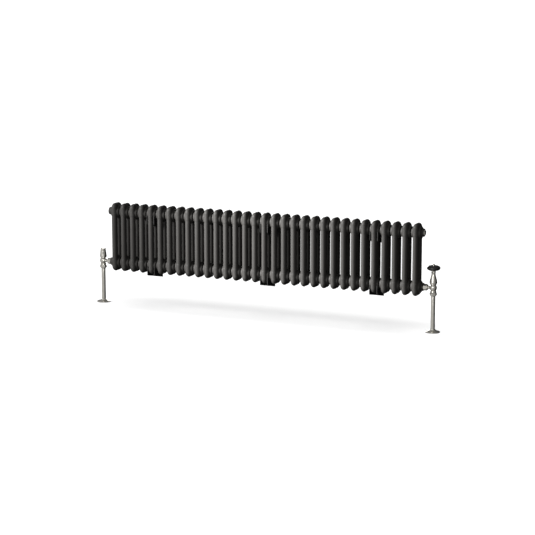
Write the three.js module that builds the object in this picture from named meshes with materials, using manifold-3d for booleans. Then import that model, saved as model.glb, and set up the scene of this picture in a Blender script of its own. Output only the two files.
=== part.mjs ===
// Low two-column steel radiator on six wall cradles, with a wheel-head valve at one end,
// a lockshield valve at the other, and a sleeved pipe down to the floor under each valve.
// Millimetres, +Z up. Z = 0 is the floor, X runs along the radiator, +Y points to the wall.
// The origin is on the floor below the middle of the whole object.
import * as THREE from 'three';
import { mergeVertices } from 'three/addons/utils/BufferGeometryUtils.js';
import Module from 'manifold-3d';

const wasm = await Module();
wasm.setup();

// ---- radiator -------------------------------------------------------------
const SECTION_COUNT = 32;
const PITCH = 45;                     // one section's length along X
const RADIATOR_BOTTOM = 147;          // lowest point of the sections above the floor
const RADIATOR_HEIGHT = 300;
const COLUMN_RADIUS = 12.5;
const COLUMN_OFFSET = 20;             // front and rear columns from the centre line
const COLUMN_SIDES = 8;
const COLUMN_OVERLAP = 10;            // how far a column's ends run into the heads
const HUB_INSET = 38;                 // hub centre from the radiator's top or bottom
const HUB_RADIUS = 22;                // joint ring between two sections
const SHOULDER_RADIUS = 27.5;         // where the hub cone meets the columns
const SHOULDER_X = 10;
const HEAD_HALF_DEPTH = 33;
const HEAD_CORNER = 19;               // corner radius of the head in side view
const HEAD_INNER_REACH = 28;          // from the hub centre towards the radiator's middle
const JOINT_GAP = 0.3;                // between neighbouring sections
const HUB_HALF_LENGTH = (PITCH - JOINT_GAP) / 2;
const RADIATOR_TOP = RADIATOR_BOTTOM + RADIATOR_HEIGHT;
const UPPER_HUB = RADIATOR_TOP - HUB_INSET;
const LOWER_HUB = RADIATOR_BOTTOM + HUB_INSET;
const RADIATOR_END = SECTION_COUNT * PITCH / 2;

// ---- end bosses and plugs ---------------------------------------------------
const BOSS_RADIUS = 17;
const BOSS_LENGTH = 7;                // stands out from the end section's hub face
const TAPPING_RADIUS = 10.5;          // half-inch tapping in each end boss
const TAPPING_DEPTH = 14;
const PLUG_SHANK_RADIUS = 9.8;
const PLUG_SHANK_LENGTH = 11;
const BLANK_HEAD_RADIUS = 16.5;
const BLANK_HEAD_LENGTH = 3.4;
const BLEED_HEAD_RADIUS = 12.2;
const BLEED_HEAD_LENGTH = 4;
const BLEED_BORE_RADIUS = 3.4;
const BLEED_SCREW_RADIUS = 3;
const BLEED_SQUARE = 4;
const BLEED_SQUARE_LENGTH = 2.6;
const BLEED_SCREW_DEPTH = 7;          // from the boss's face into the plug
const BLEED_BORE_DEPTH = 8;

// ---- wall cradles -----------------------------------------------------------
const CRADLE_SECTIONS = [5, 17, 28];  // the sections that the cradles straddle
const CRADLE_NAMES = ['left', 'middle', 'right'];
const WALL_Y = 53;                    // wall face, behind the radiator's centre line
const PLATE = 3;                      // sheet thickness
const ARM_CENTRE = 16.5;              // each arm from the section's middle
const ARM_FRONT = -27.5;
const ARM_TOP = -6;                   // below the hub centre
const ARM_FRONT_BOTTOM = -45.5;
const ARM_BACK_BOTTOM = -62;
const ARM_NOSE = 4.5;                 // chamfer at the lower front corner
const NOTCH_RADIUS = 26.6;            // half-round seat for the hub
const NOTCH_STEPS = 6;
const WALL_SCREW_RADIUS = 3;
const WALL_SCREW_SIDES = 8;
const WALL_SCREW_HEIGHTS = [-18, -50];

// ---- valves: heights are from the hub centre, the axis is vertical ------------
const VALVE_X = 769;                  // valve axis from the radiator's middle
const ROUND_SIDES = 16;
const BORE_SIDES = 12;
const BODY_BALL_RADIUS = 14.8;
const BODY_BALL_STEPS = 4;
const INLET_RADIUS = 10.4;
const INLET_BOTTOM = -26;
const BODY_SHOULDER = 11;             // where the round body ends, above and below the hub
const BODY_SKIRT_RADIUS = 12.2;       // between the round body and the compression nut
const BODY_SKIRT_BOTTOM = -19.6;
const SPIGOT_RADIUS = 9.6;            // threaded top that the bonnet and the cap sit on
const SPIGOT_TOP = 28;
const COLLAR_RADIUS = 12.6;
const COLLAR_TOP = 16.4;
const SEAT_HEIGHT = -7;
const PORT_RADIUS = 5;
const CHAMBER_RADIUS = 7.4;
const PIPE_SOCKET_TOP = -14.6;
const PIPE_SOCKET_RADIUS = 7.9;
const OUTLET_NECK_RADIUS = 6.2;
const OUTLET_NECK_END = 25;
const OUTLET_THREAD_RADIUS = 8.3;
const OUTLET_END = 41;
const OUTLET_BORE_RADIUS = 4.4;
const UNION_NUT_START = 24;
const UNION_NUT_LENGTH = 17;
const UNION_NUT_RADIUS = 14.4;        // to the corners, as for the other nuts
const UNION_NUT_BORE = 8.9;
const COMPRESSION_NUT_TOP = -20;
const COMPRESSION_NUT_BOTTOM = -34;
const COMPRESSION_NUT_RADIUS = 15.2;
const COMPRESSION_NUT_BORE = 10.9;
const COMPRESSION_NUT_LIP = -29;
const PIPE_RADIUS = 7.5;
const PIPE_TOP = -15;
const SLEEVE_RADIUS = 8.8;
const SLEEVE_BORE = 7.9;
const SLEEVE_TOP = -34.4;
const SLEEVE_BOTTOM = 0.5;            // above the floor
const FLOOR_PLATE_RADIUS = 30;
const FLOOR_PLATE_EDGE = 3.2;
const FLOOR_PLATE_HEIGHT = 13;
const FLOOR_PLATE_COLLAR = 10.8;
const FLOOR_PLATE_BORE = 9.2;

// ---- spindles, bonnet, handwheel and cap --------------------------------------
const SPINDLE_RADIUS = 4;
const JUMPER_RADIUS = 6.9;
const JUMPER_BOTTOM = SEAT_HEIGHT + 0.3;
const JUMPER_THICKNESS = 3;
const SPINDLE_TOP = 92;
const BONNET_BOTTOM = 16.8;
const BONNET_RADIUS = 15.5;
const BONNET_TOP = 61;
const BONNET_NECK_RADIUS = 8.6;
const BONNET_THREAD_BORE = 9.9;
const BONNET_SPINDLE_BORE = 4.4;
const GLAND_RADIUS = 9.5;
const GLAND_BOTTOM = 61.3;
const GLAND_NECK_RADIUS = 8.6;
const GLAND_TOP = 70;
const WHEEL_BOTTOM = 71;
const WHEEL_TOP = 92.5;
const WHEEL_RADIUS = 28;
const WHEEL_FLAT_RADIUS = 9;          // flat part of the wheel's top and of its underside
const WHEEL_RIM_STEPS = 8;
const WHEEL_BORE = 4.4;
const WHEEL_SIDES = 24;
const WHEEL_CAP_RADIUS = 6;
const WHEEL_CAP_HEIGHT = 5.5;
const LOCKSHIELD_SPINDLE_TOP = 42;
const LOCKSHIELD_SQUARE = 6.5;
const LOCKSHIELD_SQUARE_BOTTOM = 33;
const CAP_BOTTOM = 16.8;
const CAP_TOP = 56;
const CAP_SIDES = 8;
const CAP_TOP_RADIUS = 10.8;
const CAP_SKIRT_RADIUS = 15.4;
const CAP_SKIRT_TOP = 21;
const CAP_INSIDE_RADIUS = 10.2;
const CAP_INSIDE_TOP = 53;

// ---- colours ------------------------------------------------------------------
const anthracite = new THREE.MeshStandardMaterial({ color: 0x35332f, roughness: 0.55, metalness: 0.1 });
const bracketPaint = new THREE.MeshStandardMaterial({ color: 0x242321, roughness: 0.6, metalness: 0.1 });
const nickel = new THREE.MeshStandardMaterial({ color: 0xc9c5bb, roughness: 0.25, metalness: 1 });
const wheelBlack = new THREE.MeshStandardMaterial({ color: 0x0c0b0b, roughness: 0.3, metalness: 0 });
const brass = new THREE.MeshStandardMaterial({ color: 0xb08d4b, roughness: 0.35, metalness: 1 });
const copper = new THREE.MeshStandardMaterial({ color: 0xb06a45, roughness: 0.35, metalness: 1 });

// ---- helpers --------------------------------------------------------------------

// A closed three.js geometry as a solid that can be joined and cut.
function solid(geometry) {
  const bare = geometry.clone();
  bare.deleteAttribute('normal');
  bare.deleteAttribute('uv');
  const merged = mergeVertices(bare, 1e-4);
  const corners = merged.index.array;
  const triangles = [];
  for (let i = 0; i < corners.length; i += 3) {
    const [a, b, c] = [corners[i], corners[i + 1], corners[i + 2]];
    if (a !== b && b !== c && c !== a) triangles.push(a, b, c);
  }
  return new wasm.Manifold(new wasm.Mesh({
    numProp: 3,
    vertProperties: merged.attributes.position.array,
    triVerts: new Uint32Array(triangles),
  }));
}

function geometryOf(body) {
  const cut = body.getMesh();
  const geometry = new THREE.BufferGeometry();
  geometry.setAttribute('position', new THREE.BufferAttribute(new Float32Array(cut.vertProperties), 3));
  geometry.setIndex(new THREE.BufferAttribute(new Uint32Array(cut.triVerts), 1));
  geometry.computeVertexNormals();
  return geometry;
}

function place(parent, name, geometry, material) {
  const mesh = new THREE.Mesh(geometry, material);
  mesh.name = name;
  parent.add(mesh);
  return mesh;
}

// Turned shape about Z. The profile is [radius, height] pairs from the bottom up, on the outside.
function turned(profile, sides = ROUND_SIDES) {
  const points = profile.map(([radius, height]) => new THREE.Vector2(radius, height));
  return solid(new THREE.LatheGeometry(points, sides).rotateX(Math.PI / 2));
}

// Upright cylinder, or a prism with few sides, between two heights.
function upright(radius, bottom, top, sides = ROUND_SIDES) {
  const geometry = new THREE.CylinderGeometry(radius, radius, top - bottom, sides);
  return solid(geometry.rotateX(Math.PI / 2).translate(0, 0, (top + bottom) / 2));
}

// Cylinder or prism lying along X, between two places on the axis.
function lying(radius, start, end, sides = ROUND_SIDES) {
  const geometry = new THREE.CylinderGeometry(radius, radius, end - start, sides);
  return solid(geometry.rotateZ(-Math.PI / 2).translate((start + end) / 2, 0, 0));
}

function block(width, depth, height, x, y, z) {
  return solid(new THREE.BoxGeometry(width, depth, height).translate(x, y, z));
}

// Skin over rings that all have the same number of points, with a flat face at each end.
function loft(rings) {
  const count = rings[0].length;
  const geometry = new THREE.BufferGeometry().setFromPoints(rings.flat());
  const triangles = [];
  for (let r = 0; r < rings.length - 1; r += 1) {
    for (let i = 0; i < count; i += 1) {
      const a = r * count + i;
      const b = r * count + (i + 1) % count;
      triangles.push(a, b, b + count, a, b + count, a + count);
    }
  }
  const last = (rings.length - 1) * count;
  for (let i = 1; i < count - 1; i += 1) {
    triangles.push(0, i + 1, i, last, last + i, last + i + 1);
  }
  geometry.setIndex(triangles);
  return solid(geometry);
}

// ---- radiator sections --------------------------------------------------------------

// Side view of a head about its hub centre: three points round each outer corner, two on each inner one.
function headOutline() {
  const outline = [];
  const wide = HEAD_HALF_DEPTH - HEAD_CORNER;
  const high = HUB_INSET - HEAD_CORNER;
  for (const degrees of [0, 45, 90]) {
    const angle = THREE.MathUtils.degToRad(degrees);
    outline.push([wide + HEAD_CORNER * Math.cos(angle), high + HEAD_CORNER * Math.sin(angle)]);
  }
  for (const degrees of [90, 135, 180]) {
    const angle = THREE.MathUtils.degToRad(degrees);
    outline.push([-wide + HEAD_CORNER * Math.cos(angle), high + HEAD_CORNER * Math.sin(angle)]);
  }
  outline.push([-HEAD_HALF_DEPTH, -HEAD_CORNER / 2]);
  outline.push([-HEAD_CORNER, -HEAD_INNER_REACH]);
  outline.push([HEAD_CORNER, -HEAD_INNER_REACH]);
  outline.push([HEAD_HALF_DEPTH, -HEAD_CORNER / 2]);
  return outline;
}

// One pressed head: a full outline in the middle, a round shoulder and a smaller joint ring each side.
function head(hubHeight, upward) {
  const outline = headOutline();
  const ring = (x, radius) => outline.map(([y, z]) => {
    const scale = radius === null ? 1 : radius / Math.hypot(y, z);
    return new THREE.Vector3(x, y * scale, hubHeight + upward * z * scale);
  });
  const rings = [
    ring(-HUB_HALF_LENGTH, HUB_RADIUS),
    ring(-SHOULDER_X, SHOULDER_RADIUS),
    ring(0, null),
    ring(SHOULDER_X, SHOULDER_RADIUS),
    ring(HUB_HALF_LENGTH, HUB_RADIUS),
  ];
  if (upward < 0) rings.reverse();
  return loft(rings);
}

function sectionSolid() {
  let body = head(UPPER_HUB, 1).add(head(LOWER_HUB, -1));
  for (const side of [-1, 1]) {
    const bottom = LOWER_HUB + HEAD_INNER_REACH - COLUMN_OVERLAP;
    const top = UPPER_HUB - HEAD_INNER_REACH + COLUMN_OVERLAP;
    const column = upright(COLUMN_RADIUS, bottom, top, COLUMN_SIDES);
    body = body.add(column.translate([0, side * COLUMN_OFFSET, 0]));
  }
  return body;
}

// The end sections carry a tapped boss on each of their two outer hub faces.
function endSectionSolid(side) {
  let body = sectionSolid();
  for (const height of [UPPER_HUB, LOWER_HUB]) {
    const outer = HUB_HALF_LENGTH + BOSS_LENGTH;
    const boss = lying(BOSS_RADIUS, SHOULDER_X, outer).scale([side, 1, 1]).translate([0, 0, height]);
    const tapping = lying(TAPPING_RADIUS, outer - TAPPING_DEPTH, outer + 1, BORE_SIDES)
      .scale([side, 1, 1]).translate([0, 0, height]);
    body = body.add(boss).subtract(tapping);
  }
  return body;
}

function sectionX(number) {
  return (number - (SECTION_COUNT + 1) / 2) * PITCH;
}

function addSections(parent) {
  const plain = geometryOf(sectionSolid());
  const leftEnd = geometryOf(endSectionSolid(-1));
  const rightEnd = geometryOf(endSectionSolid(1));
  for (let number = 1; number <= SECTION_COUNT; number += 1) {
    let geometry = plain;
    if (number === 1) geometry = leftEnd;
    if (number === SECTION_COUNT) geometry = rightEnd;
    const name = `section_${String(number).padStart(2, '0')}`;
    place(parent, name, geometry, anthracite).position.x = sectionX(number);
  }
}

// ---- plugs in the top bosses -----------------------------------------------------------

// Both plugs are modelled pointing along +X, with X = 0 on the boss's face.
function blankingPlug() {
  const shank = lying(PLUG_SHANK_RADIUS, -PLUG_SHANK_LENGTH, 1, BORE_SIDES);
  const flange = lying(BLANK_HEAD_RADIUS, 0, BLANK_HEAD_LENGTH);
  return shank.add(flange);
}

function bleedPlug() {
  const shank = lying(PLUG_SHANK_RADIUS, -PLUG_SHANK_LENGTH, 1, BORE_SIDES);
  const flange = lying(BLEED_HEAD_RADIUS, 0, BLEED_HEAD_LENGTH, 6);
  const bore = lying(BLEED_BORE_RADIUS, -BLEED_BORE_DEPTH, BLEED_HEAD_LENGTH + 1, BORE_SIDES);
  return shank.add(flange).subtract(bore);
}

function bleedScrew() {
  const shankEnd = BLEED_HEAD_LENGTH - 2;
  const shank = lying(BLEED_SCREW_RADIUS, -BLEED_SCREW_DEPTH, shankEnd, BORE_SIDES);
  const squareTip = block(BLEED_SQUARE_LENGTH + 1, BLEED_SQUARE, BLEED_SQUARE, 0, 0, 0);
  return shank.add(squareTip.translate([shankEnd + BLEED_SQUARE_LENGTH / 2, 0, 0]));
}

function addPlugs(parent) {
  const face = RADIATOR_END - JOINT_GAP / 2 + BOSS_LENGTH + JOINT_GAP;
  const blank = place(parent, 'blanking_plug', geometryOf(blankingPlug()), anthracite);
  blank.rotation.z = Math.PI;
  blank.position.set(-face, 0, UPPER_HUB);
  place(parent, 'bleed_plug', geometryOf(bleedPlug()), nickel).position.set(face, 0, UPPER_HUB);
  place(parent, 'bleed_screw', geometryOf(bleedScrew()), brass).position.set(face, 0, UPPER_HUB);
}

// ---- wall cradles ------------------------------------------------------------------------

// Side view of an arm, in Y and Z about the hub centre.
function armShape() {
  const shape = new THREE.Shape();
  const notchEdge = Math.sqrt(NOTCH_RADIUS ** 2 - ARM_TOP ** 2);
  const startAngle = Math.atan2(ARM_TOP, -notchEdge);
  const sweep = Math.atan2(ARM_TOP, notchEdge) - startAngle;
  shape.moveTo(ARM_FRONT, ARM_FRONT_BOTTOM + ARM_NOSE);
  shape.lineTo(ARM_FRONT, ARM_TOP);
  for (let step = 0; step <= NOTCH_STEPS; step += 1) {
    const angle = startAngle + sweep * step / NOTCH_STEPS;
    shape.lineTo(NOTCH_RADIUS * Math.cos(angle), NOTCH_RADIUS * Math.sin(angle));
  }
  shape.lineTo(WALL_Y - PLATE / 2, ARM_TOP);
  shape.lineTo(WALL_Y - PLATE / 2, ARM_BACK_BOTTOM);
  shape.lineTo(ARM_FRONT + ARM_NOSE, ARM_FRONT_BOTTOM);
  return shape;
}

// Two arms folded forward from a back plate that is screwed to the wall.
function cradle() {
  const arm = new THREE.ExtrudeGeometry(armShape(), { depth: PLATE, bevelEnabled: false });
  arm.rotateY(Math.PI / 2).rotateX(Math.PI / 2).translate(-PLATE / 2, 0, 0);
  const height = ARM_TOP - ARM_BACK_BOTTOM;
  const middle = (ARM_TOP + ARM_BACK_BOTTOM) / 2;
  let body = block(2 * ARM_CENTRE + PLATE, PLATE, height, 0, WALL_Y - PLATE / 2, middle);
  for (const side of [-1, 1]) {
    body = body.add(solid(arm).translate([side * ARM_CENTRE, 0, 0]));
  }
  for (const screwHeight of WALL_SCREW_HEIGHTS) {
    const hole = new THREE.CylinderGeometry(WALL_SCREW_RADIUS, WALL_SCREW_RADIUS, 4 * PLATE, WALL_SCREW_SIDES);
    body = body.subtract(solid(hole.translate(0, WALL_Y, screwHeight)));
  }
  return body;
}

function addCradles(parent) {
  const geometry = geometryOf(cradle());
  CRADLE_SECTIONS.forEach((section, index) => {
    for (const [level, height] of [['upper', UPPER_HUB], ['lower', LOWER_HUB]]) {
      const name = `wall_cradle_${level}_${CRADLE_NAMES[index]}`;
      place(parent, name, geometry, bracketPaint).position.set(sectionX(section), 0, height);
    }
  });
}

// ---- valve pieces, about the valve axis, with the outlet along +X ---------------------------

function valveBody() {
  const profile = [
    [0, INLET_BOTTOM],
    [INLET_RADIUS, INLET_BOTTOM],
    [INLET_RADIUS, BODY_SKIRT_BOTTOM],
    [BODY_SKIRT_RADIUS, BODY_SKIRT_BOTTOM],
    [BODY_SKIRT_RADIUS, -BODY_SHOULDER - 1.5],
  ];
  const edge = Math.asin(BODY_SHOULDER / BODY_BALL_RADIUS);
  for (let step = 0; step <= BODY_BALL_STEPS; step += 1) {
    const angle = -edge + 2 * edge * step / BODY_BALL_STEPS;
    profile.push([BODY_BALL_RADIUS * Math.cos(angle), BODY_BALL_RADIUS * Math.sin(angle)]);
  }
  profile.push([COLLAR_RADIUS, BODY_SHOULDER + 1.5], [COLLAR_RADIUS, COLLAR_TOP]);
  profile.push([SPIGOT_RADIUS, COLLAR_TOP], [SPIGOT_RADIUS, SPIGOT_TOP], [0, SPIGOT_TOP]);
  return turned(profile)
    .add(lying(OUTLET_NECK_RADIUS, 0, OUTLET_END - 1, BORE_SIDES))
    .add(lying(OUTLET_THREAD_RADIUS, OUTLET_NECK_END, OUTLET_END, BORE_SIDES))
    .subtract(upright(PIPE_SOCKET_RADIUS, INLET_BOTTOM - 1, PIPE_SOCKET_TOP))
    .subtract(upright(PORT_RADIUS, PIPE_SOCKET_TOP - 1, SEAT_HEIGHT + 1, BORE_SIDES))
    .subtract(upright(CHAMBER_RADIUS, SEAT_HEIGHT, SPIGOT_TOP + 1))
    .subtract(lying(OUTLET_BORE_RADIUS, 0, OUTLET_END + 1, BORE_SIDES));
}

function unionNut() {
  const end = UNION_NUT_START + UNION_NUT_LENGTH;
  return lying(UNION_NUT_RADIUS, UNION_NUT_START, end, 6)
    .subtract(lying(UNION_NUT_BORE, UNION_NUT_START - 1, end + 1));
}

function compressionNut() {
  return upright(COMPRESSION_NUT_RADIUS, COMPRESSION_NUT_BOTTOM, COMPRESSION_NUT_TOP, 6)
    .subtract(upright(COMPRESSION_NUT_BORE, COMPRESSION_NUT_LIP, COMPRESSION_NUT_TOP + 1))
    .subtract(upright(PIPE_SOCKET_RADIUS, COMPRESSION_NUT_BOTTOM - 1, COMPRESSION_NUT_LIP + 1));
}

function pipe() {
  return upright(PIPE_RADIUS, -LOWER_HUB, PIPE_TOP);
}

function pipeSleeve() {
  return upright(SLEEVE_RADIUS, SLEEVE_BOTTOM - LOWER_HUB, SLEEVE_TOP)
    .subtract(upright(SLEEVE_BORE, -LOWER_HUB - 1, SLEEVE_TOP + 1));
}

function floorPlate() {
  const profile = [
    [FLOOR_PLATE_BORE, 0],
    [FLOOR_PLATE_RADIUS, 0],
    [FLOOR_PLATE_RADIUS, FLOOR_PLATE_EDGE],
    [FLOOR_PLATE_RADIUS * 0.8, FLOOR_PLATE_EDGE + 1.6],
    [FLOOR_PLATE_RADIUS * 0.55, FLOOR_PLATE_HEIGHT * 0.52],
    [FLOOR_PLATE_COLLAR, FLOOR_PLATE_HEIGHT],
    [FLOOR_PLATE_BORE, FLOOR_PLATE_HEIGHT],
    [FLOOR_PLATE_BORE, 0],
  ];
  return turned(profile, WHEEL_SIDES).translate([0, 0, -LOWER_HUB]);
}

// Spindle with the jumper disc that closes the seat.
function spindle(top) {
  return upright(SPINDLE_RADIUS, JUMPER_BOTTOM, top, BORE_SIDES)
    .add(upright(JUMPER_RADIUS, JUMPER_BOTTOM, JUMPER_BOTTOM + JUMPER_THICKNESS));
}

function lockshieldSpindle() {
  const square = block(
    LOCKSHIELD_SQUARE, LOCKSHIELD_SQUARE, LOCKSHIELD_SPINDLE_TOP - LOCKSHIELD_SQUARE_BOTTOM,
    0, 0, (LOCKSHIELD_SPINDLE_TOP + LOCKSHIELD_SQUARE_BOTTOM) / 2,
  );
  return spindle(LOCKSHIELD_SQUARE_BOTTOM + 1).add(square);
}

// Bell-shaped bonnet: wide at the body, drawn in to a slim neck.
function bonnet() {
  const outside = [
    [0, BONNET_BOTTOM],
    [BONNET_RADIUS - 1.5, BONNET_BOTTOM],
    [BONNET_RADIUS, BONNET_BOTTOM + 2.5],
    [BONNET_RADIUS - 0.3, BONNET_BOTTOM + 9],
    [BONNET_RADIUS - 2.2, BONNET_BOTTOM + 19],
    [BONNET_RADIUS - 4.8, BONNET_BOTTOM + 28],
    [BONNET_NECK_RADIUS + 0.6, BONNET_TOP - 9],
    [BONNET_NECK_RADIUS, BONNET_TOP - 6],
    [BONNET_NECK_RADIUS, BONNET_TOP],
    [0, BONNET_TOP],
  ];
  return turned(outside)
    .subtract(upright(BONNET_THREAD_BORE, BONNET_BOTTOM - 1, SPIGOT_TOP + 2))
    .subtract(upright(BONNET_SPINDLE_BORE, SPIGOT_TOP, BONNET_TOP + 1, BORE_SIDES));
}

function glandNut() {
  const outside = [
    [0, GLAND_BOTTOM],
    [GLAND_NECK_RADIUS, GLAND_BOTTOM],
    [GLAND_RADIUS, GLAND_BOTTOM + 1],
    [GLAND_RADIUS, GLAND_BOTTOM + 4],
    [GLAND_NECK_RADIUS, GLAND_BOTTOM + 5.5],
    [GLAND_NECK_RADIUS, GLAND_TOP],
    [0, GLAND_TOP],
  ];
  return turned(outside).subtract(upright(BONNET_SPINDLE_BORE, GLAND_BOTTOM - 1, GLAND_TOP + 1, BORE_SIDES));
}

// Solid wheel with one smooth curve from the top, round the rim, to the underside.
function handwheel() {
  const middle = (WHEEL_TOP + WHEEL_BOTTOM) / 2;
  const halfHeight = (WHEEL_TOP - WHEEL_BOTTOM) / 2;
  const profile = [[0, WHEEL_BOTTOM]];
  for (let step = 0; step <= WHEEL_RIM_STEPS; step += 1) {
    const angle = Math.PI * (step / WHEEL_RIM_STEPS - 0.5);
    const radius = WHEEL_FLAT_RADIUS + (WHEEL_RADIUS - WHEEL_FLAT_RADIUS) * Math.cos(angle);
    profile.push([radius, middle + halfHeight * Math.sin(angle)]);
  }
  profile.push([0, WHEEL_TOP]);
  const bore = upright(WHEEL_BORE, WHEEL_BOTTOM - 1, WHEEL_TOP + 1, BORE_SIDES);
  return turned(profile, WHEEL_SIDES).subtract(bore);
}

function wheelCap() {
  const bottom = WHEEL_TOP + 0.4;
  return turned([
    [0, bottom],
    [WHEEL_CAP_RADIUS, bottom],
    [WHEEL_CAP_RADIUS, bottom + 1.5],
    [WHEEL_CAP_RADIUS * 0.7, bottom + WHEEL_CAP_HEIGHT * 0.8],
    [0, bottom + WHEEL_CAP_HEIGHT],
  ]);
}

// Tapered cap with flats, closed at the top, that hides the lockshield spindle.
function lockshieldCap() {
  const outside = [
    [0, CAP_BOTTOM],
    [CAP_SKIRT_RADIUS - 1.2, CAP_BOTTOM],
    [CAP_SKIRT_RADIUS, CAP_BOTTOM + 1.5],
    [CAP_SKIRT_RADIUS, CAP_SKIRT_TOP],
    [CAP_TOP_RADIUS, CAP_TOP - 1.5],
    [CAP_TOP_RADIUS - 1.5, CAP_TOP],
    [0, CAP_TOP],
  ];
  const inside = upright(CAP_INSIDE_RADIUS, CAP_BOTTOM - 1, SPIGOT_TOP + 3)
    .add(upright(CAP_INSIDE_RADIUS * 0.7, SPIGOT_TOP, CAP_INSIDE_TOP));
  return turned(outside, CAP_SIDES).subtract(inside);
}

// Pieces that both valves have.
function addCommonValvePieces(valve, side) {
  place(valve, `${side}_valve_body`, geometryOf(valveBody()), nickel);
  place(valve, `${side}_union_nut`, geometryOf(unionNut()), nickel);
  place(valve, `${side}_compression_nut`, geometryOf(compressionNut()), nickel);
  place(valve, `${side}_pipe`, geometryOf(pipe()), copper);
  place(valve, `${side}_pipe_sleeve`, geometryOf(pipeSleeve()), nickel);
  place(valve, `${side}_floor_plate`, geometryOf(floorPlate()), nickel);
}

function addWheelHeadValve(parent) {
  const valve = new THREE.Group();
  valve.position.set(VALVE_X, 0, LOWER_HUB);
  valve.rotation.z = Math.PI;
  addCommonValvePieces(valve, 'right');
  place(valve, 'bonnet', geometryOf(bonnet()), nickel);
  place(valve, 'gland_nut', geometryOf(glandNut()), nickel);
  place(valve, 'valve_spindle', geometryOf(spindle(SPINDLE_TOP)), brass);
  place(valve, 'handwheel', geometryOf(handwheel()), wheelBlack);
  place(valve, 'handwheel_cap', geometryOf(wheelCap()), nickel);
  parent.add(valve);
}

function addLockshieldValve(parent) {
  const valve = new THREE.Group();
  valve.position.set(-VALVE_X, 0, LOWER_HUB);
  addCommonValvePieces(valve, 'left');
  place(valve, 'lockshield_spindle', geometryOf(lockshieldSpindle()), brass);
  place(valve, 'lockshield_cap', geometryOf(lockshieldCap()), nickel);
  parent.add(valve);
}

// ---- the whole object ----------------------------------------------------------------------

const group = new THREE.Group();
group.position.y = (HEAD_HALF_DEPTH - WALL_Y) / 2;
addSections(group);
addPlugs(group);
addCradles(group);
addWheelHeadValve(group);
addLockshieldValve(group);

export default group;
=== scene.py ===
import math

import bmesh
import bpy
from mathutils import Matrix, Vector


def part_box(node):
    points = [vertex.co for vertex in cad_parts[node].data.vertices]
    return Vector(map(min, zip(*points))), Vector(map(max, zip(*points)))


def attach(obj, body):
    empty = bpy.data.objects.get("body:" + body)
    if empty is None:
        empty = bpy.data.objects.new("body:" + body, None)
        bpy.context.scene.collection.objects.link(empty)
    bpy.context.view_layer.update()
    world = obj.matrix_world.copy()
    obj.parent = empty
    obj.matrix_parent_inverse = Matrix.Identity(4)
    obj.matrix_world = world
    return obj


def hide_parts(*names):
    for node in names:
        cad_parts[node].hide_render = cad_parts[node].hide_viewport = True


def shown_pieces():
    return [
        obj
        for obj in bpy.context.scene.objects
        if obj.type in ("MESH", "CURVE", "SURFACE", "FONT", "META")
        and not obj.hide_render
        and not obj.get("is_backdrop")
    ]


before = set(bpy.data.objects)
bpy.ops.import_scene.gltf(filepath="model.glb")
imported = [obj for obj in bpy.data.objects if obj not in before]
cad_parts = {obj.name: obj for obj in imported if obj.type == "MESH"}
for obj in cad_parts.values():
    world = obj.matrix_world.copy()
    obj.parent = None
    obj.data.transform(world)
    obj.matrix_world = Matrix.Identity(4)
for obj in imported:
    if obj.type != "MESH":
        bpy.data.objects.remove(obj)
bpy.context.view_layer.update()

MM = 0.001

# ---- places that come from the frame ------------------------------------------
SECTIONS = sorted(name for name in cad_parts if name.startswith("section_"))
CRADLES = sorted(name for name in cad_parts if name.startswith("wall_cradle_"))
PLAIN_LOW, PLAIN_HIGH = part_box(SECTIONS[1])
ROOT_Y = (PLAIN_LOW.y + PLAIN_HIGH.y) / 2
HUB_INSET = 38 * MM
LOWER_HUB = PLAIN_LOW.z + HUB_INSET
UPPER_HUB = PLAIN_HIGH.z - HUB_INSET
LEFT_VALVE = Vector(((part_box("left_pipe")[0].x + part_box("left_pipe")[1].x) / 2, ROOT_Y, LOWER_HUB))
RIGHT_VALVE = Vector(((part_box("right_pipe")[0].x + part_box("right_pipe")[1].x) / 2, ROOT_Y, LOWER_HUB))
LEFT_BOSS_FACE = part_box(SECTIONS[0])[0].x
RIGHT_BOSS_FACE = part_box(SECTIONS[-1])[1].x

# ---- section shape, in millimetres -------------------------------------------------
COLUMN_RADIUS = 12.5
COLUMN_OFFSET = 20
HEAD_HALF_DEPTH = 33
HEAD_REACH_OUT = 38                   # from the hub centre to the radiator's top or bottom
HEAD_REACH_IN = 28                    # from the hub centre towards its middle
OUTER_CORNER = 19
INNER_CORNER = 16
RIDGE_DEPTH = 12.5                    # how far the ridge's rounding runs in at the front and back
RIDGE_DEPTH_TOP = 18                  # and at the top
SHOULDER_RADIUS = 27.5
SHOULDER_X = 10
JOINT_RADIUS = 22
JOINT_X = 22.35
FILLET = 3.2
HEAD_ANGLES = 96
HEAD_STATIONS = (0, 1.4, 2.8, 4.2, 5.6, 7, 8.2, 9.2, 10, 10.7, 11.3, 11.8, 12.2, 12.5, 13, 13.8, 15, 16.8, 18,
                 19, 19.6, 20.2, 20.8, 21.3, 21.8)
GROOVE_START = 19                     # the welded joint's groove, out to the joint face
GROOVE_DEPTH = 5.5
RIDGE_FALL = 6                        # how steeply the ridge falls away beyond the column's radius
BOSS_RADIUS = 17

# ---- wall cradles, in millimetres about the hub centre -------------------------
PLATE = 3
ARM_CENTRE = 16.5                     # each arm from the section's middle
ARM_FRONT = -27.5
ARM_TOP = -6
ARM_FRONT_BOTTOM = -45.5
ARM_BACK_BOTTOM = -62
SEAT_RADIUS = 26.3
SEAT_STEPS = 22
ARM_SHORT_OF_WALL = 0.6               # the arms end inside the back plate
PLATE_OVERLAP = 0.2                   # the back plate runs this far into each arm
SCREW_HEIGHTS = (-18, -50)

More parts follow.
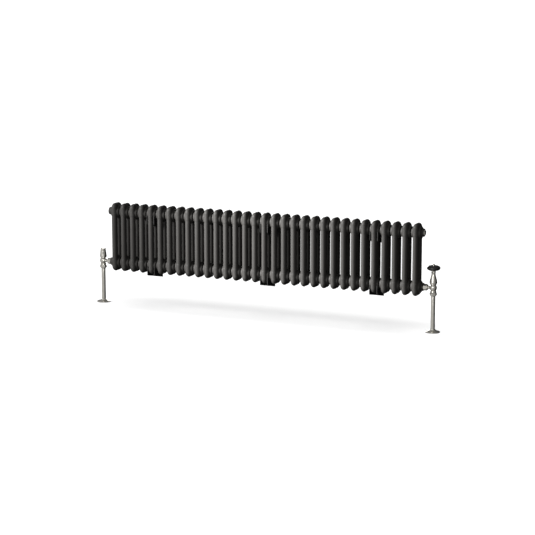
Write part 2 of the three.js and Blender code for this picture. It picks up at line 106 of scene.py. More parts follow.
# ---- plugs, in millimetres out from the boss's face -----------------------------
PLUG_RADIUS = 16.4
PLUG_RIM_FACE = 3.6
PLUG_FACE = 3.7                       # its middle stands a little proud of its rim
BLEED_FLATS = 21                      # size of the hexagon across its flats
BLEED_BACK = 1.1
BLEED_FACE = 4.3
BLEED_BORE = 3.4
BLEED_SQUARE = 4.2                    # side of the screw's square end
BLEED_SQUARE_CORNER = 2.8             # radius of its turned corners
BLEED_SCREW_END = 4.9

# ---- both valves, in millimetres about the hub centre ---------------------------
BODY_BALL = 14.8
BODY_BOTTOM = -25.8
BODY_TOP = 28
BODY_BORE = 7.4
BODY_SEAT = -7                        # floor of the bore, under the jumper
OUTLET_BORE = 4.4
OUTLET_END = 40.6
UNION_FLATS = 24.9
UNION_START = 27
UNION_END = 41
UNION_BORE = 8.9
TAIL_START = 41.1
TAIL_END = 48
COMPRESSION_FLATS = 26.3
COMPRESSION_TOP = -20
COMPRESSION_BOTTOM = -34
PIPE_RADIUS = 7.5
PIPE_BORE = 6.8
PIPE_END = -15
PIPE_SOCKET = 7.9                     # radius of the pipe's socket and of the sleeve's bore
SLEEVE_RADIUS = 8.8
SLEEVE_TOP = -34.4
FLOOR_PLATE_RADIUS = 30
FLOOR_PLATE_BORE = 9.2
FLOOR_PLATE_TOP = 13                  # above the floor
SPINDLE_RADIUS = 3.9
SPINDLE_BORE = 4.4

# ---- right valve's head, in millimetres about the hub centre --------------------
BONNET_BOTTOM = 16.8
BONNET_TOP = 61
GLAND_FLATS = 16.4
GLAND_BOTTOM = 61.3
GLAND_TOP = 70
VALVE_SPINDLE_TOP = 91.8
WHEEL_BOTTOM = 71
WHEEL_TOP = 92.5
WHEEL_RADIUS = 28
WHEEL_FLAT_RADIUS = 9                 # flat part of the wheel's top and of its underside

# ---- left valve's head, in millimetres about the hub centre ---------------------
LOCKSHIELD_SPINDLE_TOP = 33.5         # top of its round part
SPINDLE_SQUARE = 6.4
SPINDLE_SQUARE_TOP = 42
CAP_BOTTOM = 16.9
CAP_TOP = 56
CAP_RADIUS = 15.3
CAP_TOP_RADIUS = 10.8
CAP_SKIRT_TOP = 20.4
CAP_TAPER_BOTTOM = 21
CAP_TAPER_TOP = 54.3
CAP_TAPER_STEPS = 12
CAP_BORE = 10.2
CAP_HOLLOW_TOP = 53
CAP_FLATS = 8                         # how many flats there are
CAP_FLATS_START = 20.5                # where the flats begin to run out of the round skirt
CAP_FLATS_BLEND = 1.6

# ---- camera and lights, in metres, watts and degrees -----------------------------
CAMERA_PLACE = Vector((3.1295, ROOT_Y - 6.8276, 1.5863))
CAMERA_YAW = 24.434
CAMERA_PITCH = 10.380
CAMERA_LENS = 121.12                  # millimetres, on a sensor 36 mm wide
KEY_PLACE = (-1.85, -1.6, 1.2)
KEY_TARGET = (0.16, 0, 0.3)
KEY_SIZE = (0.6, 0.9)
KEY_POWER = 21
KEY_SPREAD = 32
STRIP_PLACE = (0.6, -2.4, 0.9)
STRIP_TARGET = (0.1, 0, 0.25)
STRIP_SIZE = (0.25, 1.8)
STRIP_POWER = 22
BEHIND_PLACE = (-1.3, 2.2, 0.6)
BEHIND_TARGET = (0, 0, 0.28)
BEHIND_SIZE = (1.6, 0.7)
BEHIND_POWER = 30
FLOOR_SUN_DIRECTION = (0.05, 0.12, -1)
FLOOR_SUN_STRENGTH = 3.6
FLOOR_SUN_SOFTNESS = 80
FLOOR_TONE = (0.82, 0.82, 0.82)
FLOOR_HALF = 90
ROOM_DARK = 0.02
ROOM_LIGHT = 0.72
ROOM_BRIGHT_SIDE = (-0.5, -0.83, 0.25)
ROOM_DARK_UP_TO = -0.8                # along the bright side's direction, from -1 to 1
ROOM_LIGHT_FROM = 0.9


# ---- mesh helpers ---------------------------------------------------------------------

def new_object(name, mesh, material, body, replaced=(), place=(0, 0, 0), tilt=0):
    """A shown piece that rides on a CAD body and stands for some of its nodes. tilt is about X."""
    piece = bpy.data.objects.new(name, mesh)
    bpy.context.scene.collection.objects.link(piece)
    if not mesh.materials:
        mesh.materials.append(material)
    piece.location = place
    piece.rotation_euler.x = tilt
    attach(piece, body)
    if replaced:
        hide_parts(*replaced)
    return piece


def finished_mesh(name, shell, sharp_degrees=38):
    """Turns a bmesh into a mesh with outward normals, smooth except at sharp edges."""
    bmesh.ops.remove_doubles(shell, verts=shell.verts, dist=1e-7)
    bmesh.ops.recalc_face_normals(shell, faces=shell.faces)
    mesh = bpy.data.meshes.new(name)
    shell.to_mesh(mesh)
    shell.free()
    for face in mesh.polygons:
        face.use_smooth = True
    mesh.set_sharp_from_angle(angle=math.radians(sharp_degrees))
    return mesh


def add_skin(shell, rings, closed=False):
    """Quads between rings of points; the two ends are capped unless the rings close on themselves."""
    rows = [[shell.verts.new(point) for point in ring] for ring in rings]
    count = len(rings[0])
    pairs = list(zip(rows, rows[1:]))
    if closed:
        pairs.append((rows[-1], rows[0]))
    for low, high in pairs:
        for i in range(count):
            j = (i + 1) % count
            shell.faces.new((low[i], low[j], high[j], high[i]))
    if not closed:
        shell.faces.new(list(reversed(rows[0])))
        shell.faces.new(rows[-1])


def circle_angles(count):
    """Angles evenly spaced round a circle, in radians."""
    return [2 * math.pi * i / count for i in range(count)]


def filleted(profile, steps=4):
    """Rounds a profile's corners: each point is (radius, height) or (radius, height, fillet)."""
    points = []
    for i, corner in enumerate(profile):
        here = Vector(corner[:2])
        fillet = corner[2] if len(corner) > 2 else 0
        if not fillet or i in (0, len(profile) - 1):
            points.append(here)
            continue
        before = Vector(profile[i - 1][:2]) - here
        after = Vector(profile[i + 1][:2]) - here
        reach = min(fillet, 0.49 * before.length, 0.49 * after.length)
        start = here + before.normalized() * reach
        end = here + after.normalized() * reach
        for step in range(steps + 1):
            t = step / steps
            points.append(start * (1 - t) ** 2 + here * 2 * t * (1 - t) + end * t ** 2)
    return points


def eased(profile, steps=5):
    """A smooth curve through the points of a profile (Catmull-Rom)."""
    points = [Vector(corner) for corner in profile]
    ends = [2 * points[0] - points[1]] + points + [2 * points[-1] - points[-2]]
    smooth = []
    for a, b, c, d in zip(ends, ends[1:], ends[2:], ends[3:]):
        for step in range(steps):
            t = step / steps
            smooth.append(0.5 * (2 * b + (c - a) * t + (2 * a - 5 * b + 4 * c - d) * t ** 2
                                 + (3 * b - a - 3 * c + d) * t ** 3))
    smooth.append(points[-1])
    return [tuple(point) for point in smooth]


def turned_rings(profile, place, segments=64, radius_at=None):
    """Rings of a turned shape. place maps (x, y, height) in millimetres to a point in the frame."""
    rings = []
    for radius, height in profile:
        ring = []
        for angle in circle_angles(segments):
            reach = radius_at(angle, radius, height) if radius_at else radius
            ring.append(place(reach * math.cos(angle), reach * math.sin(angle), height))
        rings.append(ring)
    return rings


def upright_at(centre):
    """Shapes whose axis is vertical through centre."""
    return lambda x, y, height: Vector(centre) + Vector((x, y, height)) * MM


def lying_at(centre, direction):
    """Shapes whose axis runs along +X (direction 1) or -X (direction -1) from centre."""
    return lambda x, y, height: Vector(centre) + Vector((direction * height, direction * x, y)) * MM


def add_turned(shell, profile, place, segments=64, radius_at=None):
    """A turned solid. A profile that starts and ends at one point is a ring with a bore."""
    points = [(max(point[0], 0.02), point[1]) for point in profile]
    closed = (Vector(points[0]) - Vector(points[-1])).length < 1e-6
    if closed:
        points = points[:-1]
    add_skin(shell, turned_rings(points, place, segments, radius_at), closed)


def hexagon(flats, chamfer, low, high):
    """Radius rule of a hexagon bar whose two end corners are turned to a cone."""
    def radius_at(angle, radius, height):
        if radius < flats / 2 - chamfer - 1:
            return radius
        turn = (angle + math.pi / 6) % (math.pi / 3) - math.pi / 6
        flat_reach = flats / 2 / math.cos(turn)
        corner_reach = flats / 2 / math.cos(math.pi / 6) - 0.25
        end_distance = min(height - low, high - height)
        cone_reach = flats / 2 - 0.3 + end_distance * 1.9
        return min(flat_reach, corner_reach, cone_reach, radius)
    return radius_at


def squared(side, corner):
    """Radius rule of a square bar with its corners turned off."""
    def radius_at(angle, radius, height):
        turn = (angle + math.pi / 4) % (math.pi / 2) - math.pi / 4
        return min(side / 2 / math.cos(turn), corner, radius)
    return radius_at


def add_hexagon_nut(shell, place, flats, low, high, bore):
    """A chamfered hexagon nut with a bore."""
    corner = flats / 2 / math.cos(math.pi / 6)
    steps = (0, 0.25, 0.5, 0.8, 1.1, 1.5, 2)
    profile = [(bore, low)]
    profile += [(corner, low + step) for step in steps]
    profile += [(corner, high - step) for step in reversed(steps)]
    profile += [(bore, high), (bore, low)]
    add_turned(shell, profile, place, 96, hexagon(flats, 2, low, high))


def piece_of(name, shapes, material, body, replaced=()):
    """Builds one piece from functions that each add their shape to its bmesh."""
    shell = bmesh.new()
    for shape in shapes:
        shape(shell)
    return new_object(name, finished_mesh(name, shell), material, body, replaced)


# ---- materials -----------------------------------------------------------------------------

class Nodes:
    """A material's nodes, with short calls to add and join them."""

    def __init__(self, name):
        self.material = bpy.data.materials.new(name)
        self.material.use_nodes = True
        self.tree = self.material.node_tree
        self.shader = self.tree.nodes["Principled BSDF"]

    def add(self, kind, **values):
        node = self.tree.nodes.new(kind)
        for key, value in values.items():
            setattr(node, key, value)
        return node

    def link(self, source, target):
        self.tree.links.new(source, target)

    def own_place(self):
        """Object coordinates, shifted by a different amount on each object."""
        coordinates = self.add("ShaderNodeTexCoord")
        info = self.add("ShaderNodeObjectInfo")
        spread = self.add("ShaderNodeVectorMath", operation="MULTIPLY_ADD")
        spread.inputs[1].default_value = (1.7, 2.3, 3.1)
        self.link(info.outputs["Random"], spread.inputs[0])
        self.link(coordinates.outputs["Object"], spread.inputs[2])
        return spread.outputs[0]

    def noise(self, place, scale, detail=3.0, roughness=0.5):
        node = self.add("ShaderNodeTexNoise")
        node.inputs["Scale"].default_value = scale
        node.inputs["Detail"].default_value = detail
        node.inputs["Roughness"].default_value = roughness
        self.link(place, node.inputs["Vector"])
        return node.outputs["Fac"]

    def ramp(self, factor, low, high):
        """Maps a 0 to 1 factor to between two numbers."""
        node = self.add("ShaderNodeMapRange")
        node.inputs["From Min"].default_value = 0.25
        node.inputs["From Max"].default_value = 0.75
        node.inputs["To Min"].default_value = low
        node.inputs["To Max"].default_value = high
        self.link(factor, node.inputs["Value"])
        return node.outputs["Result"]

    def blend_colours(self, factor, first, second):
        node = self.add("ShaderNodeMix", data_type="RGBA")
        node.inputs["A"].default_value = (*first, 1)
        node.inputs["B"].default_value = (*second, 1)
        self.link(factor, node.inputs["Factor"])
        return node.outputs["Result"]

    def bump(self, heights, distance, strength=1.0, normal=None):
        node = self.add("ShaderNodeBump")
        node.inputs["Distance"].default_value = distance
        node.inputs["Strength"].default_value = strength
        self.link(heights, node.inputs["Height"])
        if normal:
            self.link(normal, node.inputs["Normal"])
        return node.outputs["Normal"]

    def set(self, **values):
        for key, value in values.items():
            self.shader.inputs[key.replace("_", " ")].default_value = value


def powder_coat(name, dark, light, roughness, grain=1100):
    """Matt powder coat: faint tone changes, and the fine orange peel of baked powder."""
    nodes = Nodes(name)
    place = nodes.own_place()
    cloud = nodes.noise(place, 9, 4)
    nodes.link(nodes.blend_colours(nodes.ramp(cloud, 0, 1), dark, light), nodes.shader.inputs["Base Color"])
    nodes.link(nodes.ramp(nodes.noise(place, 60, 3), roughness - 0.03, roughness + 0.04),
               nodes.shader.inputs["Roughness"])
    peel = nodes.bump(nodes.noise(place, grain * 0.35, 2), 0.00008, 0.5)
    nodes.link(nodes.bump(nodes.noise(place, grain, 2), 0.00003, 0.5, peel), nodes.shader.inputs["Normal"])
    nodes.set(Metallic=0.0, IOR=1.5, Specular_IOR_Level=0.2)
    return nodes.material


def satin_metal(name, first, second, roughness, brush=(40, 40, 900)):
    """Plated or machined metal: fine turning marks, a slight haze and tone changes."""
    nodes = Nodes(name)
    place = nodes.own_place()
    stretch = nodes.add("ShaderNodeVectorMath", operation="MULTIPLY")
    stretch.inputs[1].default_value = brush
    nodes.link(place, stretch.inputs[0])
    marks = nodes.noise(stretch.outputs[0], 4, 2)
    cloud = nodes.noise(place, 55, 4)
    nodes.link(nodes.blend_colours(nodes.ramp(cloud, 0, 1), first, second), nodes.shader.inputs["Base Color"])
    nodes.link(nodes.ramp(marks, roughness - 0.05, roughness + 0.07), nodes.shader.inputs["Roughness"])
    nodes.link(nodes.bump(marks, 0.000012, 0.35), nodes.shader.inputs["Normal"])
    nodes.set(Metallic=1.0)
    return nodes.material


def black_gloss(name):
    """Black moulded wheel: satin gloss with faint flow marks and handling haze."""
    nodes = Nodes(name)
    place = nodes.own_place()
    cloud = nodes.noise(place, 70, 4)
    colour = nodes.blend_colours(nodes.ramp(cloud, 0, 1), (0.004, 0.0038, 0.0038), (0.008, 0.0075, 0.0072))
    nodes.link(colour, nodes.shader.inputs["Base Color"])
    nodes.link(nodes.ramp(nodes.noise(place, 160, 3), 0.22, 0.34), nodes.shader.inputs["Roughness"])
    nodes.link(nodes.bump(nodes.noise(place, 420, 2), 0.00004, 0.4), nodes.shader.inputs["Normal"])
    nodes.set(Metallic=0.0, IOR=1.5)
    return nodes.material


def pale_floor(name):
    """Plain pale floor with a barely visible change of tone."""
    nodes = Nodes(name)
    place = nodes.own_place()
    cloud = nodes.noise(place, 1.2, 3)
    colour = nodes.blend_colours(nodes.ramp(cloud, 0, 1), FLOOR_TONE, tuple(c * 1.02 for c in FLOOR_TONE))
    nodes.link(colour, nodes.shader.inputs["Base Color"])
    nodes.set(Roughness=0.9, Specular_IOR_Level=0.1)
    return nodes.material


ANTHRACITE = powder_coat("anthracite_paint", (0.0195, 0.0184, 0.0170), (0.0240, 0.0226, 0.0209), 0.6)
CRADLE_PAINT = powder_coat("cradle_paint", (0.011, 0.0105, 0.010), (0.015, 0.0143, 0.0137), 0.55)
NICKEL = satin_metal("satin_nickel", (0.56, 0.54, 0.49), (0.64, 0.62, 0.57), 0.18)
BRASS = satin_metal("brass", (0.56, 0.40, 0.17), (0.64, 0.47, 0.22), 0.3)
COPPER = satin_metal("copper", (0.56, 0.26, 0.15), (0.64, 0.32, 0.19), 0.32)
SCREW_ZINC = satin_metal("zinc_screws", (0.42, 0.42, 0.43), (0.5, 0.5, 0.5), 0.35)
WHEEL_BLACK = black_gloss("wheel_black")
PAINTS = (ANTHRACITE, CRADLE_PAINT)


# ---- radiator sections --------------------------------------------------------------------------

def head_outline_reach(angle):
    """Distance from the hub centre to the head's outline in side view, found by halving a range.

    Angle pi/2 points outwards.
    """
    across, outward = math.cos(angle), math.sin(angle)
    corner = OUTER_CORNER if outward > 0 else INNER_CORNER
    reach = HEAD_REACH_OUT if outward > 0 else HEAD_REACH_IN
    low, high = 0.0, 60.0
    for _ in range(36):
        middle = (low + high) / 2
        over_y = max(abs(across) * middle - (HEAD_HALF_DEPTH - corner), 0)
        over_z = max(abs(outward) * middle - (reach - corner), 0)
        if math.hypot(over_y, over_z) < corner:
            low = middle
        else:
            high = middle
    return low


def smooth_greater(a, b, width):
    """The greater of two numbers, with a soft turn where they are alike."""
    near = max(width - abs(a - b), 0) / width
    return max(a, b) + near * near * width / 4


def head_reach(angle, x):
    """Distance of the head's skin from the hub axis: a rounded ridge over a pair of shallow cones."""
    across = min(abs(x), COLUMN_RADIUS)
    drop = 1 - math.sqrt(1 - (across / COLUMN_RADIUS) ** 2)
    depth = RIDGE_DEPTH + (RIDGE_DEPTH_TOP - RIDGE_DEPTH) * max(math.sin(angle), 0) ** 4
    ridge = head_outline_reach(angle) - depth * drop
    if abs(x) > COLUMN_RADIUS:
        ridge -= (abs(x) - COLUMN_RADIUS) * RIDGE_FALL
    slope = (SHOULDER_RADIUS - JOINT_RADIUS) / (JOINT_X - SHOULDER_X)
    cone = SHOULDER_RADIUS - max(abs(x) - SHOULDER_X, 0) * slope
    groove = max(abs(x) - GROOVE_START, 0) / (JOINT_X - GROOVE_START)
    cone -= GROOVE_DEPTH * groove ** 1.5
    return smooth_greater(ridge, cone, FILLET)


def head_rings(hub_height, upward):
    """Rings of one pressed head, from its left joint face to its right one."""
    stations = list(HEAD_STATIONS) + [JOINT_X]
    stations = [-x for x in reversed(stations)] + stations[1:]
    rings = []
    for x in stations:
        ring = []
        for angle in circle_angles(HEAD_ANGLES):
            reach = head_reach(angle, x)
            y = reach * math.cos(angle)
            z = reach * math.sin(angle) * upward
            ring.append(Vector((x * MM, ROOT_Y + y * MM, hub_height + z * MM)))
        rings.append(ring)
    return rings


def section_shell(boss_side=0):
    """One section about X = 0. boss_side is -1 or 1 on the end sections, which carry two bosses."""
    shell = bmesh.new()
    add_skin(shell, head_rings(UPPER_HUB, 1))
    add_skin(shell, head_rings(LOWER_HUB, -1))
    for side in (-1, 1):
        centre = Vector((0, ROOT_Y + side * COLUMN_OFFSET * MM, 0))
        column = [(COLUMN_RADIUS, LOWER_HUB / MM), (COLUMN_RADIUS, UPPER_HUB / MM)]
        add_skin(shell, turned_rings(column, upright_at(centre), 56))
    if boss_side:
        face = (RIGHT_BOSS_FACE - section_centre(SECTIONS[-1])) / MM
        boss = filleted([(0, SHOULDER_X), (BOSS_RADIUS, SHOULDER_X), (BOSS_RADIUS, face, 1.2), (0, face)])
        for height in (UPPER_HUB, LOWER_HUB):
            add_turned(shell, boss, lying_at((0, ROOT_Y, height), boss_side))
    return shell


def section_centre(node):
    """X of a section's middle. The end sections' own boxes are longer by their bosses."""
    first = (PLAIN_LOW.x + PLAIN_HIGH.x) / 2
    second = sum(corner.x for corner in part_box(SECTIONS[2])) / 2
    return first + (SECTIONS.index(node) - 1) * (second - first)


def make_sections():
    """All the sections share one mesh, except the two ends with their bosses."""
    meshes = {}
    for side in (0, -1, 1):
        meshes[side] = finished_mesh(f"section_mesh_{side + 1}", section_shell(side), 50)
    for node in SECTIONS:
        side = {SECTIONS[0]: -1, SECTIONS[-1]: 1}.get(node, 0)
        new_object(f"{node}_fine", meshes[side], ANTHRACITE, "radiator", [node],
                   place=(section_centre(node), 0, 0))


# ---- plugs in the top bosses -----------------------------------------------------------------------

def make_blanking_plug():
    """The plain plug in the left top boss."""
    place = lying_at((LEFT_BOSS_FACE, ROOT_Y, UPPER_HUB), -1)
    disc = filleted([
        (0, -6),
        (9.5, -6),
        (9.5, 0.2),
        (PLUG_RADIUS, 0.2, 0.4),
        (PLUG_RADIUS, PLUG_RIM_FACE, 0.9),
        (5, PLUG_FACE),
        (0, PLUG_FACE),
    ])
    piece_of("blanking_plug_fine", [lambda shell: add_turned(shell, disc, place)],
             ANTHRACITE, "radiator", ["blanking_plug"])


def make_bleed_plug():
    """The hexagon plug in the right top boss, with its washer and the bore for the bleed screw."""
    place = lying_at((RIGHT_BOSS_FACE, ROOT_Y, UPPER_HUB), 1)
    washer = filleted([
        (BLEED_BORE, 0.1),
        (11.6, 0.1, 0.3),
        (11.6, 1.3, 0.4),
        (BLEED_BORE, 1.3),
        (BLEED_BORE, 0.1),
    ])
    thread = [(BLEED_BORE, -8), (9.6, -8), (9.6, 0.3), (BLEED_BORE, 0.3), (BLEED_BORE, -8)]
    piece_of("bleed_plug_fine", [
        lambda shell: add_hexagon_nut(shell, place, BLEED_FLATS, BLEED_BACK, BLEED_FACE, BLEED_BORE),
        lambda shell: add_turned(shell, washer, place),
        lambda shell: add_turned(shell, thread, place),
    ], NICKEL, "radiator", ["bleed_plug"])


def make_bleed_screw():
    """The screw in the bleed plug, with a square end for the key."""
    place = lying_at((RIGHT_BOSS_FACE, ROOT_Y, UPPER_HUB), 1)
    shank = filleted([(0, -7), (3, -7), (3, 2, 0.4), (0, 2)])
    tip = filleted([
        (0, 1.5),
        (BLEED_SQUARE_CORNER, 1.5),
        (BLEED_SQUARE_CORNER, BLEED_SCREW_END, 0.5),
        (0, BLEED_SCREW_END),
    ])
    piece_of("bleed_screw_fine", [
        lambda shell: add_turned(shell, shank, place, 32),
        lambda shell: add_turned(shell, tip, place, 48, squared(BLEED_SQUARE, BLEED_SQUARE_CORNER)),
    ], BRASS, "bleed_screw", ["bleed_screw"])


# ---- wall cradles ------------------------------------------------------------------------------------

def arm_outline(wall):
    """Side view of a cradle arm about the hub centre, with rounded outer corners, in millimetres."""
    edge = math.sqrt(SEAT_RADIUS ** 2 - ARM_TOP ** 2)
    start = math.atan2(ARM_TOP, -edge) % (2 * math.pi)
    sweep = math.atan2(ARM_TOP, edge) % (2 * math.pi) - start
    seat = [(SEAT_RADIUS * math.cos(start + sweep * i / SEAT_STEPS),
             SEAT_RADIUS * math.sin(start + sweep * i / SEAT_STEPS)) for i in range(SEAT_STEPS + 1)]
    outside = [
        (wall, ARM_TOP),
        (wall, ARM_BACK_BOTTOM),
        (ARM_FRONT, ARM_FRONT_BOTTOM, 5),
        (ARM_FRONT, ARM_TOP),
    ]
    return [tuple(point) for point in filleted([seat[-1]] + outside + [seat[0]], 5)[1:-1]] + seat


def add_plate(shell, outline, thickness, middle, place):
    """A flat plate with the given outline, thickness across middle."""
    rings = [[place(x, y, z) for y, z in outline] for x in (middle - thickness / 2, middle + thickness / 2)]
    add_skin(shell, rings)


def cradle_mesh():
    """Two arms in front of a back plate, about the hub centre."""
    wall = (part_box(CRADLES[0])[1].y - ROOT_Y) / MM
    shell = bmesh.new()
    place = upright_at((0, ROOT_Y, 0))
    for side in (-1, 1):
        add_plate(shell, arm_outline(wall - ARM_SHORT_OF_WALL), PLATE, side * ARM_CENTRE, place)
    half = ARM_CENTRE - PLATE / 2 + PLATE_OVERLAP
    inner = wall - PLATE
    back = [(inner, ARM_TOP), (inner, ARM_BACK_BOTTOM), (wall, ARM_BACK_BOTTOM), (wall, ARM_TOP)]
    add_plate(shell, back, 2 * half, 0, place)
    return finished_mesh("cradle_mesh", shell, 30)


def screw_mesh():
    """A pan-head wall screw, the axis along Z and the head above Z = 0."""
    shell = bmesh.new()
    place = upright_at((0, 0, 0))
    dome = eased([(0, 3), (2.2, 2.8), (4.2, 2.0), (5.2, 0.6), (5.2, 0)]) + [(2.6, 0), (2.6, -3), (0, -3)]
    add_turned(shell, list(reversed(dome)), place, 40)
    return finished_mesh("wall_screw_mesh", shell, 40)


def bevel_edges(piece, width):
    """Takes the sharpness off a plate's cut edges."""
    bevel = piece.modifiers.new("edge", "BEVEL")
    bevel.width = width
    bevel.segments = 2
    bevel.limit_method = "ANGLE"
    bevel.angle_limit = math.radians(50)


def make_cradles():
    """All six cradles and the two wall screws of each."""
    cradle, screw = cradle_mesh(), screw_mesh()
    for node in CRADLES:
        low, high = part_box(node)
        middle = (low.x + high.x) / 2
        hub = high.z - ARM_TOP * MM
        piece = new_object(f"{node}_fine", cradle, CRADLE_PAINT, "radiator", [node],
                           place=(middle, 0, hub))
        bevel_edges(piece, 0.5 * MM)
        for number, height in enumerate(SCREW_HEIGHTS, 1):
            name = node.replace("wall_cradle", "wall_screw") + f"_{number}"
            place = (middle, high.y - PLATE * MM, hub + height * MM)
            new_object(name, screw, SCREW_ZINC, "radiator", place=place, tilt=math.pi / 2)


# ---- both valves ---------------------------------------------------------------------------------------

def threaded(radius, depth, low, high, pitch=1.3):
    """The profile of a threaded stretch from low to high: shallow ridges."""
    points = []
    height = low
    while height + pitch < high:
        points += [(radius - depth, height), (radius, height + pitch / 2)]
        height += pitch
    return points + [(radius - depth, height), (radius - depth, high)]


def body_profile():
    """Half section of a valve's body: threads, skirt, ball and top thread outside, then the bores."""
    ball_angles = [math.radians(-47 + 94 * i / 20) for i in range(21)]
    profile = [(PIPE_SOCKET, BODY_BOTTOM)]
    profile += threaded(10.2, 0.6, BODY_BOTTOM, -19.7)
    profile += [(11.9, -19.6), (12.2, -19.3), (12.2, -13), (11.8, -12.4), (10.6, -11.8), (10.3, -11.2)]
    profile += [(BODY_BALL * math.cos(angle), BODY_BALL * math.sin(angle)) for angle in ball_angles]
    profile += [(10.4, 11.6), (12.4, 12.4), (12.6, 12.9), (12.6, 16.0), (12.3, 16.4)]
    profile += threaded(9.6, 0.6, 16.4, 27.6)
    profile += [(8.6, BODY_TOP), (BODY_BORE, BODY_TOP), (BODY_BORE, BODY_SEAT), (5, BODY_SEAT)]
    return profile + [(5, PIPE_END), (PIPE_SOCKET, PIPE_END), (PIPE_SOCKET, BODY_BOTTOM)]


def make_valve_body(side, centre, direction):
    """A valve's body and its outlet. direction is +1 or -1, along X towards the radiator."""
    body = body_profile()
    neck = [(0, 9.5)] + eased([(9.2, 9.5), (8.2, 12.2), (6.9, 14.2), (6.3, 16.5), (6.2, 22)])
    neck += [(6.2, 25.1), (8.2, 25.5), (8.2, OUTLET_END), (OUTLET_BORE, OUTLET_END), (0, OUTLET_END)]
    piece_of(f"{side}_valve_body_fine", [
        lambda shell: add_turned(shell, body, upright_at(centre), 80),
        lambda shell: add_turned(shell, neck, lying_at(centre, direction)),
    ], NICKEL, "radiator", [f"{side}_valve_body"])


def make_union(side, centre, direction):
    """The nut that pulls a valve up to the radiator, and the tail that is screwed into the boss."""
    place = lying_at(centre, direction)
    lip = filleted([
        (6.6, 24),
        (11, 24, 0.9),
        (11.6, 27.2),
        (UNION_BORE, 27.2),
        (6.6, 25),
        (6.6, 24),
    ])
    piece_of(f"{side}_union_nut_fine", [
        lambda shell: add_hexagon_nut(shell, place, UNION_FLATS, UNION_START, UNION_END, UNION_BORE),
        lambda shell: add_turned(shell, lip, place),
    ], NICKEL, "radiator", [f"{side}_union_nut"])
    tail = filleted([
        (OUTLET_BORE, TAIL_START),
        (10.2, TAIL_START, 0.3),
        (10.2, 42.0, 0.3),
        (8, 42.0),
        (8, TAIL_END),
        (OUTLET_BORE, TAIL_END),
        (OUTLET_BORE, TAIL_START),
    ])
    piece_of(f"{side}_union_tail", [lambda shell: add_turned(shell, tail, place)], NICKEL, "radiator")


def make_compression_nut(side, centre):
    """The hexagon nut under a valve's body, with a bowl below the hexagon."""
    place = upright_at(centre)
    bowl = [(8, -30.4), (13, -30.4)]
    bowl += eased([(13, -30.5), (12.6, -31.8), (11.6, -33.1), (10.2, -33.9), (9.4, COMPRESSION_BOTTOM)])
    bowl += [(8, COMPRESSION_BOTTOM), (8, -30.4)]
    piece_of(f"{side}_compression_nut_fine", [
        lambda shell: add_hexagon_nut(shell, place, COMPRESSION_FLATS, -30.6, COMPRESSION_TOP, 10.9),
        lambda shell: add_turned(shell, bowl, place),
    ], NICKEL, "radiator", [f"{side}_compression_nut"])


def make_pipe(side, centre):
    """The copper pipe from the floor up into a valve's socket, and the plated sleeve round it."""
    floor = upright_at((centre[0], centre[1], 0))
    hub = centre[2] / MM
    end = hub + PIPE_END
    pipe = [(PIPE_BORE, 0), (PIPE_RADIUS, 0), (PIPE_RADIUS, end), (PIPE_BORE, end), (PIPE_BORE, 0)]
    piece_of(f"{side}_pipe_fine", [lambda shell: add_turned(shell, pipe, floor, 48)],
             COPPER, "radiator", [f"{side}_pipe"])
    top = hub + SLEEVE_TOP
    sleeve = filleted([
        (PIPE_SOCKET, 0.5),
        (SLEEVE_RADIUS, 0.5, 0.2),
        (SLEEVE_RADIUS, top, 0.4),
        (PIPE_SOCKET, top),
        (PIPE_SOCKET, 0.5),
    ])
    piece_of(f"{side}_pipe_sleeve_fine", [lambda shell: add_turned(shell, sleeve, floor, 64)],
             NICKEL, "radiator", [f"{side}_pipe_sleeve"])


def make_floor_plate(side, centre):
    """The flared plate that hides the hole in the floor round a pipe. It slides up the sleeve."""
    place = upright_at((centre[0], centre[1], 0))
    plate = [(FLOOR_PLATE_BORE, 0), (29.4, 0), (29.9, 0.4)]
    plate += [(FLOOR_PLATE_RADIUS, 1), (FLOOR_PLATE_RADIUS, 2.4), (29.8, 3.0)]
    plate += eased([(29.2, 3.3), (26, 4.4), (20, 6.0), (14.6, 8.4), (11.6, 11), (10.9, 12.4)])
    plate += [(10.6, 12.9), (10, FLOOR_PLATE_TOP), (FLOOR_PLATE_BORE, FLOOR_PLATE_TOP), (FLOOR_PLATE_BORE, 0)]
    piece_of(f"{side}_floor_plate_fine", [lambda shell: add_turned(shell, plate, place, 96)],
             NICKEL, f"{side}_floor_plate", [f"{side}_floor_plate"])


def make_spindle(node, centre, top, body):
    """A stem with its jumper disc; the lockshield one ends in a square for the key."""
    place = upright_at(centre)
    jumper = [(0, -6.7), (6.3, -6.7), (6.9, -6.2), (6.9, -4.2), (6.4, -3.7), (SPINDLE_RADIUS, -3.7)]
    stem = jumper + [(SPINDLE_RADIUS, top - 0.6), (SPINDLE_RADIUS - 0.5, top), (0, top)]
    shapes = [lambda shell: add_turned(shell, stem, place, 40)]
    if body == "lockshield_spindle":
        square = filleted([
            (0, top - 1),
            (4.5, top - 1),
            (4.5, SPINDLE_SQUARE_TOP, 0.6),
            (0, SPINDLE_SQUARE_TOP),
        ])
        shapes.append(lambda shell: add_turned(shell, square, place, 48, squared(SPINDLE_SQUARE, 4.3)))
    piece_of(f"{node}_fine", shapes, BRASS, body, [node])


# ---- right valve: bonnet and handwheel ---------------------------------------------------------------

